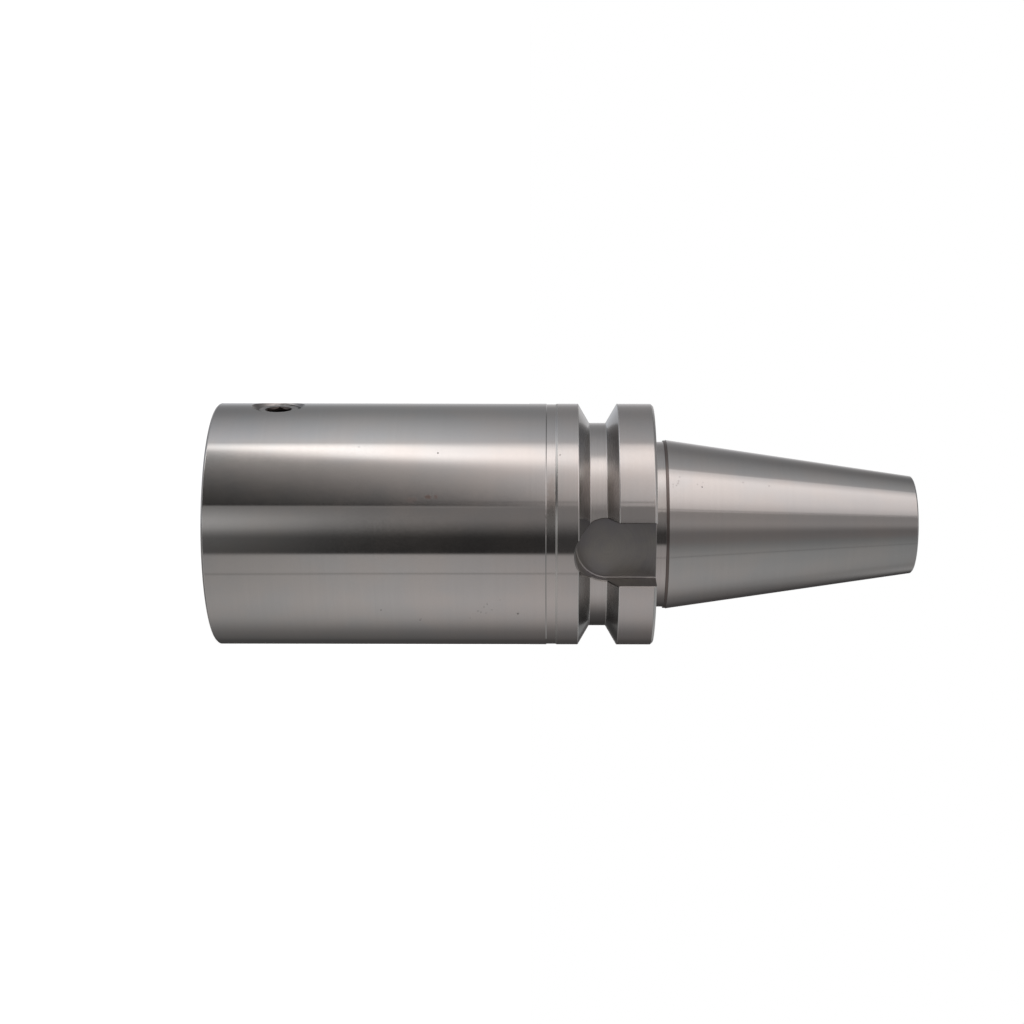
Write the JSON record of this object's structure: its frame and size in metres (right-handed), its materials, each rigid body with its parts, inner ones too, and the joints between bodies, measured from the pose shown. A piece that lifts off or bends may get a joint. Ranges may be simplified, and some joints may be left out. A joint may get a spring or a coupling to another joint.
{
  "type": "boring head shank",
  "caption": "Ground steel tool shank with a steep taper, a V-grooved drive flange with slots and a round body whose front bore takes a boring head, held by a radial clamp screw.",
  "frame": {"origin": "centre of the front face, on the shank's axis", "axes": "+Z along the axis from the front face to the small end of the taper; clamp screw on the -X side; drive slots on the +Y and -Y sides"},
  "size_m": [0.063, 0.063, 0.1807],
  "materials": {
    "ground_steel": "hardened, finely turned and ground, satin, with fine rings round the axis; slot floors milled; a few small pits and stains",
    "black_screw_steel": "black oxide, matt"
  },
  "bodies": {
    "shank_body": {"shank": "ground_steel"},
    "screw_body": {"clamp_screw": "black_screw_steel"}
  },
  "joints": [
    {"name": "clamp_screw_travel", "type": "slide", "parent": "shank_body", "child": "screw_body", "axis": [1, 0, 0], "range_m": [-0.00175, 0.00525]}
  ]
}
